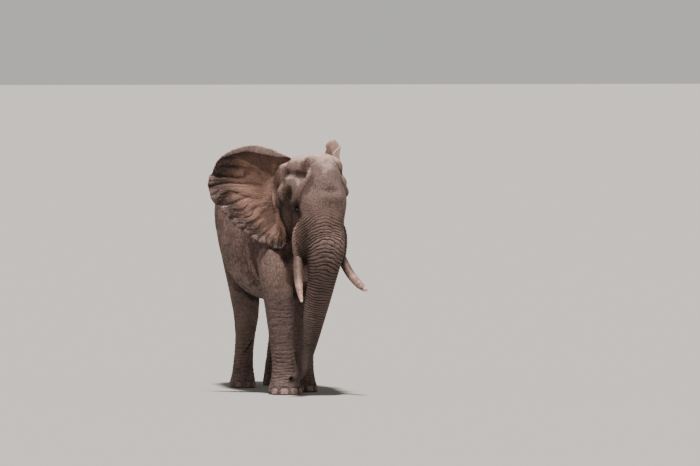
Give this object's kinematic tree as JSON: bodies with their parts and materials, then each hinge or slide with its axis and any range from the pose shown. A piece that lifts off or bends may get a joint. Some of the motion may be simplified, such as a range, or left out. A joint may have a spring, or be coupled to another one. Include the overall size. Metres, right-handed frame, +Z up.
{
  "type": "african elephant",
  "caption": "Life-size still model of a standing adult bull African bush elephant, right ear spread, left ear back, trunk hanging with its tip curled aside.",
  "frame": {"origin": "middle of the bounding box on the floor the soles stand on", "axes": "+Z up, -Y the way the animal faces, +X its left; +Y is along its length"},
  "size_m": [1.7858, 3.5918, 3.1854],
  "materials": {
    "skin": "dry wrinkled hide dusted with red-brown earth",
    "ivory": "worn ivory, half matte, stained",
    "toenail": "dull worn horn",
    "eye": "wet dark brown",
    "tail_hair": "coarse black bristle"
  },
  "bodies": {
    "root": {"torso": "skin", "neck": "skin", "head": "skin", "lower_jaw": "skin", "trunk_upper": "skin", "trunk_middle": "skin", "trunk_lower": "skin", "ear_right": "skin", "ear_left": "skin", "eye_right": "eye", "eye_left": "eye", "tusk_right": "ivory", "tusk_left": "ivory", "tail": "skin", "tail_tuft": "tail_hair", "fore_right_upper": "skin", "fore_right_lower": "skin", "fore_right_foot": "skin", "fore_left_upper": "skin", "fore_left_lower": "skin", "fore_left_foot": "skin", "hind_right_upper": "skin", "hind_right_lower": "skin", "hind_right_foot": "skin", "hind_left_upper": "skin", "hind_left_lower": "skin", "hind_left_foot": "skin", "nail_fore_right_1": "toenail", "nail_fore_right_2": "toenail", "nail_fore_right_3": "toenail", "nail_fore_right_4": "toenail", "nail_fore_left_1": "toenail", "nail_fore_left_2": "toenail", "nail_fore_left_3": "toenail", "nail_fore_left_4": "toenail", "nail_hind_right_1": "toenail", "nail_hind_right_2": "toenail", "nail_hind_right_3": "toenail", "nail_hind_left_1": "toenail", "nail_hind_left_2": "toenail", "nail_hind_left_3": "toenail"}
  },
  "joints": []
}
